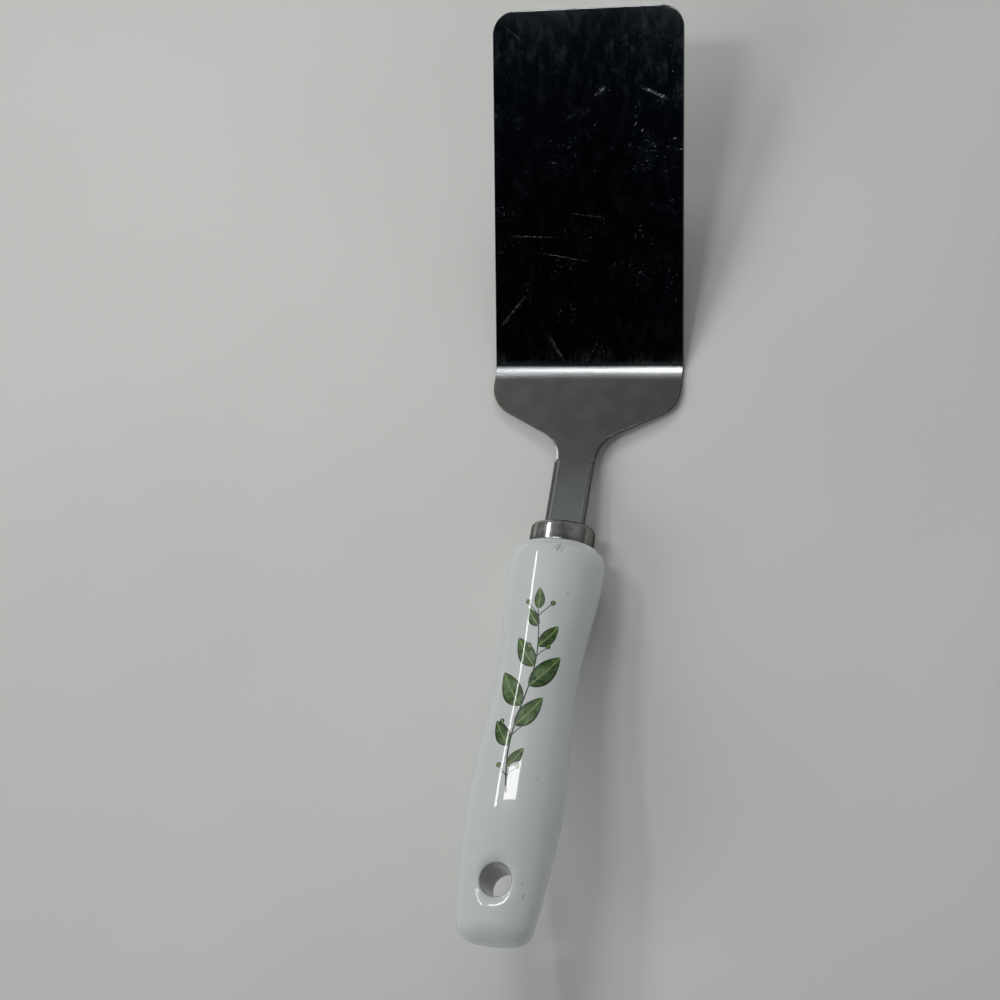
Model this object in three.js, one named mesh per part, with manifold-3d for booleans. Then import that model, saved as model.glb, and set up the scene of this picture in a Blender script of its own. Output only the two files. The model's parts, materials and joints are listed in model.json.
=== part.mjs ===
// Serving spatula: a cranked steel sheet whose tang is cemented into a porcelain handle.
// Millimetres. It lies as it rests on a table: +Z up, +Y from the butt to the blade's tip.
import * as THREE from "three";
import { mergeVertices } from "three/addons/utils/BufferGeometryUtils.js";
import Module from "manifold-3d";

// Clearance between neighbouring pieces
const FIT_GAP = 0.3;

// Steel sheet, from the blade's tip to the end of the tang
const SHEET_THICKNESS = 1.2;
const BLADE_WIDTH = 70;
const BLADE_LENGTH = 124.7;
const TIP_CORNER_RADIUS = 8;
const HEEL_BEND_RADIUS = 8;
const HEEL_BEND_DEGREES = 27;
const SHOULDER_SIDE_LENGTH = 5.1;
const SHOULDER_CORNER_RADIUS = 11;
const SHOULDER_SLANT_DEGREES = 64;
const NECK_FILLET_RADIUS = 12;
const SHANK_WIDTH = 14.2;
const SHANK_LENGTH = 25.9;
const SHANK_SWEEP_DEGREES = 5;
const FLANGE_HEIGHT = 1.4;
const FLANGE_RUN_IN = 1.8;
const TANG_WIDTH = 10;
const TANG_LENGTH = 58;

// Ferrule, a drawn oval cap that stands out past the shank's sides and faces
const FERRULE_SIDE_LEDGE = 4.2;
const FERRULE_FACE_LEDGE = 7.7;
const FERRULE_WALL = 0.8;
const FERRULE_EDGE_RADIUS = 1.8;

// Porcelain handle, from the spigot in the ferrule to the butt
const OVAL_POWER = 2.2;
const SPIGOT_HEIGHT = 3;
const SEAT_LEDGE = 0.6;
const LIP_LENGTH = 8;
const LIP_SIDE_FLARE = 4.8;
const LIP_FACE_FLARE = 3.4;
const LIP_TO_WAIST = 38.5;
const WAIST_WIDTH = 27.5;
const WAIST_DEPTH = 22.5;
const WAIST_TO_BULGE = 47;
const BULGE_WIDTH = 32.3;
const BULGE_DEPTH = 23.2;
const BULGE_TO_HOLE = 25.2;
const HOLE_SECTION_WIDTH = 29.4;
const HOLE_SECTION_DEPTH = 17.4;
const HOLE_DIAMETER = 10.6;
const HOLE_RIM_REACH = 2.6;
const HOLE_RIM_DROP = 1.6;
const HOLE_TO_BUTT = 19.8;
const BUTT_WIDTH = 24.3;
const BUTT_DEPTH = 15.2;
const BUTT_EDGE_RADIUS = 6.2;

// Cement round the tang and in the ferrule
const CEMENT_HEAD_HEIGHT = 3.4;
const CEMENT_WALL = 1.5;
const CEMENT_CORNER_RADIUS = 2;
const CEMENT_PAST_TANG = 4;

// Fineness of round stretches
const ARC_STEPS = 6;
const OVAL_POINTS = 40;
const GRIP_STEPS = 24;
const HOLE_POINTS = 32;
const RIM_STEPS = 5;

// Halvings that close in on the angle at which it rests
const REST_STEPS = 40;

const wasm = await Module();
wasm.setup();

const heelTurn = THREE.MathUtils.degToRad(HEEL_BEND_DEGREES);
const shankTurn = THREE.MathUtils.degToRad(SHANK_SWEEP_DEGREES);
const slant = THREE.MathUtils.degToRad(SHOULDER_SLANT_DEGREES);
const quarter = Math.PI / 2;

// Stations along the sheet, from the blade's tip
const cornerRun = SHOULDER_CORNER_RADIUS * Math.sin(slant);
const cornerDrop = SHOULDER_CORNER_RADIUS * (1 - Math.cos(slant));
const filletRun = NECK_FILLET_RADIUS * Math.sin(slant);
const filletDrop = NECK_FILLET_RADIUS * (1 - Math.cos(slant));
const slantDrop = (BLADE_WIDTH - SHANK_WIDTH) / 2 - cornerDrop - filletDrop;
const heelEnd = BLADE_LENGTH + HEEL_BEND_RADIUS * heelTurn;
const cornerStart = heelEnd + SHOULDER_SIDE_LENGTH;
const filletStart = cornerStart + cornerRun + slantDrop / Math.tan(slant);
const filletEnd = filletStart + filletRun;
const flangeStart = filletEnd + FLANGE_RUN_IN;
const ferruleTop = filletEnd + SHANK_LENGTH;

// Stations along the handle's axis, from the top of the ferrule
const capInside = FERRULE_WALL + FIT_GAP;
const spigotTop = capInside + CEMENT_HEAD_HEIGHT + FIT_GAP;
const seat = spigotTop + SPIGOT_HEIGHT;
const ferruleEnd = seat - FIT_GAP;
const shankEnd = (capInside + spigotTop) / 2 - FIT_GAP;
const tangEnd = seat + TANG_LENGTH;
const socketEnd = tangEnd + CEMENT_PAST_TANG;

// Stations along the handle, from the ferrule's seat
const waistStation = LIP_LENGTH + LIP_TO_WAIST;
const bulgeStation = waistStation + WAIST_TO_BULGE;
const holeStation = bulgeStation + BULGE_TO_HOLE;
const handleLength = holeStation + HOLE_TO_BUTT;

// The handle's axis runs through the middle of the shank, from its underside to the tops of its edges
const axisLift = FLANGE_HEIGHT / 2;
const webLow = -SHEET_THICKNESS / 2 - axisLift;
const webHigh = SHEET_THICKNESS / 2 - axisLift;
const edgeHigh = SHEET_THICKNESS / 2 + axisLift;

// Oval sizes of the ferrule, and the socket that leaves room for cement round the tang
const ferruleWidth = SHANK_WIDTH + 2 * FERRULE_SIDE_LEDGE;
const ferruleDepth = edgeHigh - webLow + 2 * FERRULE_FACE_LEDGE;
const hollowWidth = ferruleWidth - 2 * FERRULE_WALL;
const hollowDepth = ferruleDepth - 2 * FERRULE_WALL;
const spigotWidth = hollowWidth - 2 * FIT_GAP;
const spigotDepth = hollowDepth - 2 * FIT_GAP;
const socketWidth = TANG_WIDTH + 2 * (FIT_GAP + CEMENT_WALL + FIT_GAP);
const socketDepth = 2 * (edgeHigh + FIT_GAP + CEMENT_WALL + FIT_GAP);

// The sheet's middle line seen from the side, as stretches and the angle that each turns through
const SIDE_LINE = [
  { length: BLADE_LENGTH, turn: 0 },
  { length: heelEnd - BLADE_LENGTH, turn: heelTurn },
  { length: filletStart - heelEnd, turn: 0 },
  { length: ferruleTop - filletStart, turn: shankTurn },
  { length: tangEnd, turn: 0 },
];

// Place and pitch on the middle line, with the blade level along Y and its heel at the origin
function onSideLine(station) {
  const place = { y: BLADE_LENGTH, z: 0, pitch: 0 };
  let left = station;
  for (const { length, turn } of SIDE_LINE) {
    const run = Math.min(left, length);
    const pitch = place.pitch + (turn * run) / length;
    if (turn) {
      place.y -= (length / turn) * (Math.sin(pitch) - Math.sin(place.pitch));
      place.z += (length / turn) * (Math.cos(place.pitch) - Math.cos(pitch));
    } else {
      place.y -= run * Math.cos(pitch);
      place.z += run * Math.sin(pitch);
    }
    place.pitch = pitch;
    left -= run;
  }
  return place;
}

// Closed mesh through rings of equally many points, with a flat cap on each end
function loft(rings) {
  const count = rings[0].length;
  const last = (rings.length - 1) * count;
  const index = [];
  for (let start = 0; start < last; start += count) {
    for (let i = 0; i < count; i++) {
      const a = start + i;
      const b = start + ((i + 1) % count);
      index.push(a, b, b + count, a, b + count, a + count);
    }
  }
  for (let i = 1; i + 1 < count; i++) {
    index.push(0, i + 1, i, last, last + i, last + i + 1);
  }
  const geometry = new THREE.BufferGeometry().setFromPoints(rings.flat());
  geometry.setIndex(index);
  geometry.computeVertexNormals();
  return geometry;
}

// Solid for joining and cutting, and the geometry of a finished one
function solid(geometry) {
  const bare = geometry.clone();
  bare.deleteAttribute("normal");
  bare.deleteAttribute("uv");
  const merged = mergeVertices(bare);
  const vertProperties = merged.attributes.position.array;
  const triVerts = new Uint32Array(merged.index.array);
  return new wasm.Manifold(new wasm.Mesh({ numProp: 3, vertProperties, triVerts }));
}

function geometryOf(made) {
  const { vertProperties, triVerts } = made.getMesh();
  const geometry = new THREE.BufferGeometry();
  geometry.setAttribute("position", new THREE.BufferAttribute(vertProperties, 3));
  geometry.setIndex(new THREE.BufferAttribute(triVerts, 1));
  geometry.computeVertexNormals();
  return geometry;
}

// Half outline of the flat sheet, as stations along it and half widths
function sheetOutline() {
  const bladeHalf = BLADE_WIDTH / 2;
  const shankHalf = SHANK_WIDTH / 2;
  const tangHalf = TANG_WIDTH / 2;
  const tipCentre = bladeHalf - TIP_CORNER_RADIUS;
  const cornerCentre = bladeHalf - SHOULDER_CORNER_RADIUS;
  const filletCentre = shankHalf + NECK_FILLET_RADIUS;
  const outline = new THREE.Path();
  outline.absarc(TIP_CORNER_RADIUS, tipCentre, TIP_CORNER_RADIUS, Math.PI, quarter, true);
  for (let i = 0; i <= 2 * ARC_STEPS; i++) {
    outline.lineTo(BLADE_LENGTH + ((heelEnd - BLADE_LENGTH) * i) / (2 * ARC_STEPS), bladeHalf);
  }
  outline.absarc(cornerStart, cornerCentre, SHOULDER_CORNER_RADIUS, quarter, quarter - slant, true);
  outline.absarc(filletEnd, filletCentre, NECK_FILLET_RADIUS, -quarter - slant, -quarter, false);
  for (let i = 1; i < ARC_STEPS; i++) {
    outline.lineTo(filletEnd + (FLANGE_RUN_IN * i) / ARC_STEPS, shankHalf);
  }
  for (let i = 0; i <= ARC_STEPS; i++) {
    outline.lineTo(flangeStart + ((ferruleTop - flangeStart) * i) / ARC_STEPS, shankHalf);
  }
  outline.lineTo(ferruleTop + shankEnd, shankHalf);
  outline.lineTo(ferruleTop + shankEnd + FIT_GAP, tangHalf);
  outline.lineTo(ferruleTop + tangEnd, tangHalf);
  return outline.getPoints(ARC_STEPS);
}

// One stamped sheet, with turned-up edges that stiffen the shank between the neck and the tang
function makeBlade() {
  const half = SHEET_THICKNESS / 2;
  const rings = sheetOutline().map(({ x: station, y: width }) => {
    const rise = THREE.MathUtils.smoothstep(station, filletEnd, flangeStart);
    const onTang = station > ferruleTop + shankEnd;
    const top = half + (onTang ? 0 : FLANGE_HEIGHT * rise);
    const edge = width - SHEET_THICKNESS;
    const web = edge - half;
    const section = [
      [-width, -half],
      [width, -half],
      [width, top],
      [edge, top],
      [web, half],
      [-web, half],
      [-edge, top],
      [-width, top],
    ];
    const { y, z, pitch } = onSideLine(station);
    const [back, up] = [Math.sin(pitch), Math.cos(pitch)];
    return section.map(([across, lift]) => new THREE.Vector3(across, y + lift * back, z + lift * up));
  });
  return loft(rings);
}

// Oval across the handle's axis, which runs along -Y from the top of the ferrule
function oval(width, depth, station) {
  const power = 2 / OVAL_POWER;
  return Array.from({ length: OVAL_POINTS }, (_, i) => {
    const angle = (2 * Math.PI * i) / OVAL_POINTS;
    const [c, s] = [Math.cos(angle), Math.sin(angle)];
    const x = (width / 2) * Math.sign(c) * Math.abs(c) ** power;
    const z = (depth / 2) * Math.sign(s) * Math.abs(s) ** power;
    return new THREE.Vector3(x, -station, z);
  });
}

// Block along the handle's axis between two stations
function block(width, low, high, from, to) {
  const box = new THREE.BoxGeometry(width, to - from, high - low);
  return solid(box.translate(0, -(from + to) / 2, (low + high) / 2));
}

// Bar with rounded corners along the handle's axis between two stations
function roundedBar(width, depth, radius, from, to) {
  const [x, y] = [width / 2 - radius, depth / 2 - radius];
  const shape = new THREE.Shape();
  shape.absarc(x, y, radius, 0, quarter, false);
  shape.absarc(-x, y, radius, quarter, 2 * quarter, false);
  shape.absarc(-x, -y, radius, 2 * quarter, 3 * quarter, false);
  shape.absarc(x, -y, radius, 3 * quarter, 4 * quarter, false);
  const settings = { depth: to - from, bevelEnabled: false, curveSegments: ARC_STEPS };
  const bar = new THREE.ExtrudeGeometry(shape, settings);
  return solid(bar.rotateX(quarter).translate(0, -from, 0));
}

// Room that the shank and the tang take up inside the ferrule and the handle, grown by a gap
function shankRoom(gap) {
  return block(SHANK_WIDTH + 2 * gap, webLow - gap, edgeHigh + gap, -gap, shankEnd + FIT_GAP + gap);
}

function tangRoom(gap) {
  return block(TANG_WIDTH + 2 * gap, webLow - gap, webHigh + gap, -gap, tangEnd + gap);
}

// Drawn cap with a rounded top edge, hollow below and slotted for the shank
function makeFerrule() {
  const rings = [];
  for (let i = 0; i <= ARC_STEPS; i++) {
    const angle = (quarter * i) / ARC_STEPS;
    const inset = FERRULE_EDGE_RADIUS * (1 - Math.sin(angle));
    const station = FERRULE_EDGE_RADIUS * (1 - Math.cos(angle));
    rings.push(oval(ferruleWidth - 2 * inset, ferruleDepth - 2 * inset, station));
  }
  rings.push(oval(ferruleWidth, ferruleDepth, ferruleEnd));
  const hollow = loft([
    oval(hollowWidth, hollowDepth, FERRULE_WALL),
    oval(hollowWidth, hollowDepth, ferruleEnd + FERRULE_WALL),
  ]);
  return geometryOf(solid(loft(rings)).subtract(solid(hollow)).subtract(shankRoom(FIT_GAP)));
}

// Smooth size along the handle through named sections, level at the first
function sizeAlong(knots) {
  const slopes = knots.map(([station, size], i) => {
    const before = knots[i - 1];
    const after = knots[i + 1] ?? [station, size];
    return before ? (after[1] - before[1]) / (after[0] - before[0]) : 0;
  });
  return (station) => {
    const i = knots.findIndex(([at], n) => n > 0 && (station <= at || n === knots.length - 1));
    const [[from, a], [to, b]] = [knots[i - 1], knots[i]];
    const run = to - from;
    const t = (station - from) / run;
    const blend = t * t * (3 - 2 * t);
    const bow = t * (1 - t) * run * (slopes[i - 1] * (1 - t) - slopes[i] * t);
    return a + (b - a) * blend + bow;
  };
}

// Size at a station from the seat: the lip's rounding, the named sections and the butt's rounded edge
function gripSize(station, flare, along) {
  const toTop = Math.max(0, LIP_LENGTH - station);
  const lipDrop = flare * (1 - Math.sqrt(1 - (toTop / LIP_LENGTH) ** 2));
  const past = Math.max(0, station - handleLength + BUTT_EDGE_RADIUS);
  const buttDrop = BUTT_EDGE_RADIUS - Math.sqrt(BUTT_EDGE_RADIUS ** 2 - past ** 2);
  return along(Math.max(station, LIP_LENGTH)) - 2 * (lipDrop + buttDrop);
}

// Cutter for the hanging hole, flared where it meets both faces
function hangingHole() {
  const face = HOLE_SECTION_DEPTH / 2;
  const mouth = HOLE_DIAMETER / 2 + HOLE_RIM_REACH;
  const drop = HOLE_RIM_DROP;
  const profile = new THREE.Path();
  profile.moveTo(0, -2 * face);
  profile.lineTo(mouth, -2 * face);
  profile.absellipse(mouth, drop - face, HOLE_RIM_REACH, drop, -quarter, -2 * quarter, true, 0);
  profile.absellipse(mouth, face - drop, HOLE_RIM_REACH, drop, 2 * quarter, quarter, true, 0);
  profile.lineTo(mouth, 2 * face);
  profile.lineTo(0, 2 * face);
  const cutter = new THREE.LatheGeometry(profile.getPoints(RIM_STEPS), HOLE_POINTS);
  return solid(cutter.rotateX(quarter).translate(0, -seat - holeStation, 0));
}

// Waisted porcelain grip with its spigot, the socket for the tang and the hanging hole
function makeHandle() {
  const widthAlong = sizeAlong([
    [LIP_LENGTH, ferruleWidth + 2 * (SEAT_LEDGE + LIP_SIDE_FLARE)],
    [waistStation, WAIST_WIDTH],
    [bulgeStation, BULGE_WIDTH],
    [holeStation, HOLE_SECTION_WIDTH],
    [handleLength, BUTT_WIDTH],
  ]);
  const depthAlong = sizeAlong([
    [LIP_LENGTH, ferruleDepth + 2 * (SEAT_LEDGE + LIP_FACE_FLARE)],
    [waistStation, WAIST_DEPTH],
    [bulgeStation, BULGE_DEPTH],
    [holeStation, HOLE_SECTION_DEPTH],
    [handleLength, BUTT_DEPTH],
  ]);
  const buttStart = handleLength - BUTT_EDGE_RADIUS;
  const stations = [];
  for (let i = 0; i < ARC_STEPS; i++) {
    stations.push(LIP_LENGTH * (1 - Math.cos((quarter * i) / ARC_STEPS)));
  }
  for (let i = 0; i < GRIP_STEPS; i++) {
    stations.push(LIP_LENGTH + ((buttStart - LIP_LENGTH) * i) / GRIP_STEPS);
  }
  for (let i = 0; i <= ARC_STEPS; i++) {
    stations.push(buttStart + BUTT_EDGE_RADIUS * Math.sin((quarter * i) / ARC_STEPS));
  }
  const grip = stations.map((station) => {
    const width = gripSize(station, LIP_SIDE_FLARE, widthAlong);
    const depth = gripSize(station, LIP_FACE_FLARE, depthAlong);
    return oval(width, depth, seat + station);
  });
  const spigot = [spigotTop, seat].map((station) => oval(spigotWidth, spigotDepth, station));
  const socket = roundedBar(socketWidth, socketDepth, CEMENT_CORNER_RADIUS + FIT_GAP, 0, socketEnd);
  return geometryOf(solid(loft([...spigot, ...grip])).subtract(socket).subtract(hangingHole()));
}

// Set cement: a head in the ferrule and a bar in the socket, cast round the shank and the tang
function makeCement() {
  const headEnds = [capInside, spigotTop - FIT_GAP];
  const head = loft(headEnds.map((station) => oval(spigotWidth, spigotDepth, station)));
  const barWidth = socketWidth - 2 * FIT_GAP;
  const barDepth = socketDepth - 2 * FIT_GAP;
  const [from, to] = [capInside + FIT_GAP, socketEnd - FIT_GAP];
  const bar = roundedBar(barWidth, barDepth, CEMENT_CORNER_RADIUS, from, to);
  return geometryOf(solid(head).add(bar).subtract(shankRoom(FIT_GAP)).subtract(tangRoom(FIT_GAP)));
}

function named(name, geometry, look) {
  const mesh = new THREE.Mesh(geometry, new THREE.MeshStandardMaterial(look));
  mesh.name = name;
  return mesh;
}

const blade = named("blade", makeBlade(), { color: 0xc3c5c4, roughness: 0.12, metalness: 1 });
const ferrule = named("ferrule", makeFerrule(), { color: 0xbcbebd, roughness: 0.2, metalness: 1 });
const handle = named("handle", makeHandle(), { color: 0xe6eae6, roughness: 0.08, metalness: 0 });
const cement = named("tang_cement", makeCement(), { color: 0xb7b1a3, roughness: 0.9, metalness: 0 });

// The handle's pieces share an axis that leaves the sheet at the top of the ferrule
const handleEnd = new THREE.Group();
const { y, z, pitch } = onSideLine(ferruleTop);
handleEnd.position.set(0, y + axisLift * Math.sin(pitch), z + axisLift * Math.cos(pitch));
handleEnd.rotation.x = -pitch;
handleEnd.add(ferrule, handle, cement);

const spatula = new THREE.Group();
const lying = new THREE.Group();
lying.add(blade, handleEnd);
spatula.add(lying);

// Height of a mesh's lowest point with the spatula tipped back by an angle about its heel
function lowest(mesh, angle) {
  lying.rotation.x = angle;
  spatula.updateMatrixWorld(true);
  return new THREE.Box3().setFromObject(mesh, true).min.z;
}

// The weight of the handle tips the blade up until the handle touches the table behind the heel
let [level, tipped] = [0, pitch];
for (let i = 0; i < REST_STEPS; i++) {
  const middle = (level + tipped) / 2;
  if (lowest(handle, middle) > lowest(blade, middle)) level = middle;
  else tipped = middle;
}
lying.rotation.x = level;
spatula.updateMatrixWorld(true);
const bounds = new THREE.Box3().setFromObject(spatula, true);
const centre = bounds.getCenter(new THREE.Vector3());
lying.position.set(-centre.x, -centre.y, -bounds.min.z);

export default spatula;
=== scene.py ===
"""Looks of the serving spatula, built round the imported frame: fine meshes, finishes, light and camera."""
import json
from math import atan2, copysign, cos, pi, radians, sin, sqrt, tan

import bmesh
import bpy
from mathutils import Matrix, Vector


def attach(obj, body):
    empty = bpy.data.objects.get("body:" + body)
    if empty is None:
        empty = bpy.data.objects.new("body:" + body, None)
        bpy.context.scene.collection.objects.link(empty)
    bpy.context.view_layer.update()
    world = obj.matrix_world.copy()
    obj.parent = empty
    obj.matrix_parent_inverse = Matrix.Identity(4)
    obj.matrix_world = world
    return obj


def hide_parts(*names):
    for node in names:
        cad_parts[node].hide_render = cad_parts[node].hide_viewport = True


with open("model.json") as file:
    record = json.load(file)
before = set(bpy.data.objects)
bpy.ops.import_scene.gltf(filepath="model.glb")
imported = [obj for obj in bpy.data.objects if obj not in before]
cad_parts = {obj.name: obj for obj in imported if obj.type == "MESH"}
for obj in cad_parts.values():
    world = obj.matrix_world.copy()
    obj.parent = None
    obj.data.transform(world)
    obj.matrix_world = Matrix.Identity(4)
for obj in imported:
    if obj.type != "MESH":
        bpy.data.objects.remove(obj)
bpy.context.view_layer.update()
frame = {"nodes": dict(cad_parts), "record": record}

SCENE = bpy.context.scene
MM = 0.001
QUARTER = pi / 2

# Steel sheet, in millimetres, from the blade's tip to the end of the tang
SHEET_THICKNESS = 1.2
BLADE_WIDTH = 70.0
BLADE_LENGTH = 124.7
TIP_CORNER_RADIUS = 8.0
HEEL_BEND_RADIUS = 8.0
HEEL_BEND = radians(27)
SHOULDER_SIDE_LENGTH = 5.1
SHOULDER_CORNER_RADIUS = 11.0
SHOULDER_SLANT = radians(64)
NECK_FILLET_RADIUS = 12.0
SHANK_WIDTH = 14.2
SHANK_LENGTH = 25.9
SHANK_SWEEP = radians(5)
FLANGE_HEIGHT = 1.4
FLANGE_RUN_IN = 1.8
FLANGE_SLOPE = 0.1
FLANGE_OUTER_ROUND = 0.9
TANG_WIDTH = 10.0
TANG_LENGTH = 58.0
CUT_EDGE_ROUND = 0.18
NECK_EDGE_ROUND = 0.5
NECK_ROUND_RUN_IN = 4.0
NECK_ROUND_RUN_OUT = 2.0
SERVING_FACE_FROM_HEEL = 62.0
# Slope of the heel line across the blade, and how far from the heel the sheet takes it up
HEEL_SKEW = 0.0165
HEEL_FADE = 30.0

# Ferrule
FIT_GAP = 0.3
FERRULE_SIDE_LEDGE = 4.2
FERRULE_FACE_LEDGE = 7.7
FERRULE_WALL = 0.8
FERRULE_EDGE_RADIUS = 1.8
FERRULE_RIM_ROUND = 0.25
SLOT_POWER = 12.0
SLOT_GAP = 0.08
CEMENT_HEAD_HEIGHT = 3.4

# Porcelain handle, from the spigot in the ferrule to the butt
OVAL_POWER = 2.2
SPIGOT_HEIGHT = 3.0
SEAT_LEDGE = 0.6
SEAT_ROUND = 0.35
COLLAR_HEIGHT = 2.1
COLLAR_STEP = 0.3
COLLAR_BLEND = 0.5
LIP_LENGTH = 8.0
LIP_SIDE_FLARE = 4.8
LIP_FACE_FLARE = 3.4
WAIST_STATION = 46.5
WAIST_WIDTH = 27.5
WAIST_DEPTH = 22.5
BULGE_STATION = 93.5
BULGE_WIDTH = 32.3
BULGE_DEPTH = 23.2
HOLE_STATION = 118.7
HOLE_SECTION_WIDTH = 29.4
HOLE_SECTION_DEPTH = 17.4
HOLE_DIAMETER = 10.6
HOLE_RIM_REACH = 4.2
HOLE_RIM_DROP = 1.7
HANDLE_LENGTH = 138.5
BUTT_WIDTH = 24.3
BUTT_DEPTH = 15.2
BUTT_EDGE_RADIUS = 6.2
BUTT_CROWN = 0.4
CEMENT_WALL = 1.5
SOCKET_PAST_TANG = 4.0
SOCKET_POWER = 6.0

# Rows of the sheet's mesh, and its columns by their distance from the cut edge
TIP_STEPS = 18
BLADE_STEPS = 40
HEEL_STEPS = 28
SIDE_STEPS = 6
CORNER_STEPS = 16
SLANT_STEPS = 6
FILLET_STEPS = 18
FLANGE_STEPS = 10
SHANK_STEPS = 12
SHANK_END_STEPS = 2
TANG_STEPS = 8
CUT_EDGE_STEPS = 3
EDGE_COLUMNS = (0.0, 0.03, 0.3, 0.6, 0.85, 0.96, 1.0, 1.03, 1.06, 1.09, 1.13, 1.2, 1.4, 1.8, 2.5)
MIDDLE_COLUMNS = 9

# Rings of the ferrule's and the handle's meshes, and the block that the hole is cut in
OVAL_POINTS = 112
FERRULE_TOP_RINGS = (0.4, 0.9)
FERRULE_EDGE_STEPS = 10
FERRULE_WALL_STEPS = 6
FERRULE_RIM_STEPS = 3
LIP_STEPS = 36
GRIP_STEPS = 84
PAST_HOLE_STEPS = 5
BUTT_EDGE_STEPS = 14
BUTT_RINGS = (0.35, 0.7)
HOLE_BLOCK_SIDE = 24.0
HOLE_BLOCK_ROWS = 24
HOLE_BLOCK_FIRST = 14
PATCH_RINGS = 5
RIM_RINGS = 18
BORE_RINGS = 6
SLOPE_STEP = 0.05

# Stations along the sheet, from the blade's tip
CORNER_RUN = SHOULDER_CORNER_RADIUS * sin(SHOULDER_SLANT)
CORNER_DROP = SHOULDER_CORNER_RADIUS * (1 - cos(SHOULDER_SLANT))
FILLET_RUN = NECK_FILLET_RADIUS * sin(SHOULDER_SLANT)
FILLET_DROP = NECK_FILLET_RADIUS * (1 - cos(SHOULDER_SLANT))
SLANT_DROP = (BLADE_WIDTH - SHANK_WIDTH) / 2 - CORNER_DROP - FILLET_DROP
HEEL_END = BLADE_LENGTH + HEEL_BEND_RADIUS * HEEL_BEND
CORNER_START = HEEL_END + SHOULDER_SIDE_LENGTH
CORNER_END = CORNER_START + CORNER_RUN
FILLET_START = CORNER_END + SLANT_DROP / tan(SHOULDER_SLANT)
FILLET_END = FILLET_START + FILLET_RUN
FLANGE_START = FILLET_END + FLANGE_RUN_IN
FERRULE_TOP = FILLET_END + SHANK_LENGTH

# Stations along the handle's axis, from the top of the ferrule
CAP_INSIDE = FERRULE_WALL + FIT_GAP
SPIGOT_TOP = CAP_INSIDE + CEMENT_HEAD_HEIGHT + FIT_GAP
SEAT = SPIGOT_TOP + SPIGOT_HEIGHT
FERRULE_END = SEAT - FIT_GAP
SHANK_END = (CAP_INSIDE + SPIGOT_TOP) / 2 - FIT_GAP
TANG_END = SEAT + TANG_LENGTH
SOCKET_END = TANG_END + SOCKET_PAST_TANG

# Lift of the handle's axis over the sheet, and sizes of the ovals along it
AXIS_LIFT = FLANGE_HEIGHT / 2
SHANK_DEPTH = SHEET_THICKNESS + FLANGE_HEIGHT
FERRULE_WIDTH = SHANK_WIDTH + 2 * FERRULE_SIDE_LEDGE
FERRULE_DEPTH = SHANK_DEPTH + 2 * FERRULE_FACE_LEDGE
SPIGOT_WIDTH = FERRULE_WIDTH - 2 * CAP_INSIDE
SPIGOT_DEPTH = FERRULE_DEPTH - 2 * CAP_INSIDE
LIP_WIDTH = FERRULE_WIDTH + 2 * (SEAT_LEDGE + LIP_SIDE_FLARE)
LIP_DEPTH = FERRULE_DEPTH + 2 * (SEAT_LEDGE + LIP_FACE_FLARE)
SOCKET_WIDTH = TANG_WIDTH + 2 * (FIT_GAP + CEMENT_WALL + FIT_GAP)
SOCKET_DEPTH = SHANK_DEPTH + 2 * (FIT_GAP + CEMENT_WALL + FIT_GAP)

# The sheet's middle line seen from the side, as stretches and the angle that each turns through
SIDE_LINE = (
    (BLADE_LENGTH, 0.0),
    (HEEL_END - BLADE_LENGTH, HEEL_BEND),
    (FILLET_START - HEEL_END, 0.0),
    (FERRULE_TOP - FILLET_START, SHANK_SWEEP),
    (TANG_END, 0.0),
)


def smoothstep(low, high, value):
    t = min(1.0, max(0.0, (value - low) / (high - low)))
    return t * t * (3 - 2 * t)


def spread(start, end, steps):
    """Evenly spaced values from start up to, but not including, end."""
    return [start + (end - start) * i / steps for i in range(steps)]


def quarter_turn(steps):
    """Angles from 0 to a quarter turn, both included."""
    return [QUARTER * i / steps for i in range(steps + 1)]


def border_walk(rows, columns):
    """Row and column of each point round the border of a grid."""
    walk = [(0, j) for j in range(columns)]
    walk += [(i, columns - 1) for i in range(1, rows - 1)]
    walk += [(rows - 1, j) for j in reversed(range(columns))]
    walk += [(i, 0) for i in reversed(range(1, rows - 1))]
    return walk


def on_side_line(station):
    """Place and pitch on the sheet's middle line, with the blade level along Y and its heel at the origin."""
    y, z, pitch = BLADE_LENGTH, 0.0, 0.0
    for length, turn in SIDE_LINE:
        run = min(station, length)
        turned = pitch + turn * run / length
        if turn:
            y -= length / turn * (sin(turned) - sin(pitch))
            z += length / turn * (cos(pitch) - cos(turned))
        else:
            y -= run * cos(pitch)
            z += run * sin(pitch)
        pitch = turned
        station -= run
    return y, z, pitch


def sheet_frame():
    """From the level sheet's frame to the row frame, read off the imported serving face."""
    face = next(m for m in frame["record"]["mounts"] if m["name"] == "serving_face")
    _, back, up = face["axis"]
    middle = Vector((0, SERVING_FACE_FROM_HEEL, SHEET_THICKNESS / 2))
    tipped = Matrix.Rotation(atan2(-back, up), 4, "X")
    return Matrix.Translation(Vector(face["pos_m"]) / MM) @ tipped @ Matrix.Translation(-middle)


def handle_frame():
    """From the handle's own frame, whose axis runs along -Y from the top of the ferrule, to the row frame."""
    y, z, pitch = on_side_line(FERRULE_TOP)
    start = Vector((0, y + AXIS_LIFT * sin(pitch), z + AXIS_LIFT * cos(pitch)))
    return SHEET_FRAME @ Matrix.Translation(start) @ Matrix.Rotation(-pitch, 4, "X")


SHEET_FRAME = sheet_frame()
HANDLE_FRAME = handle_frame()


def add_object(name, data):
    thing = bpy.data.objects.new(name, data)
    SCENE.collection.objects.link(thing)
    return thing


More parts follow.
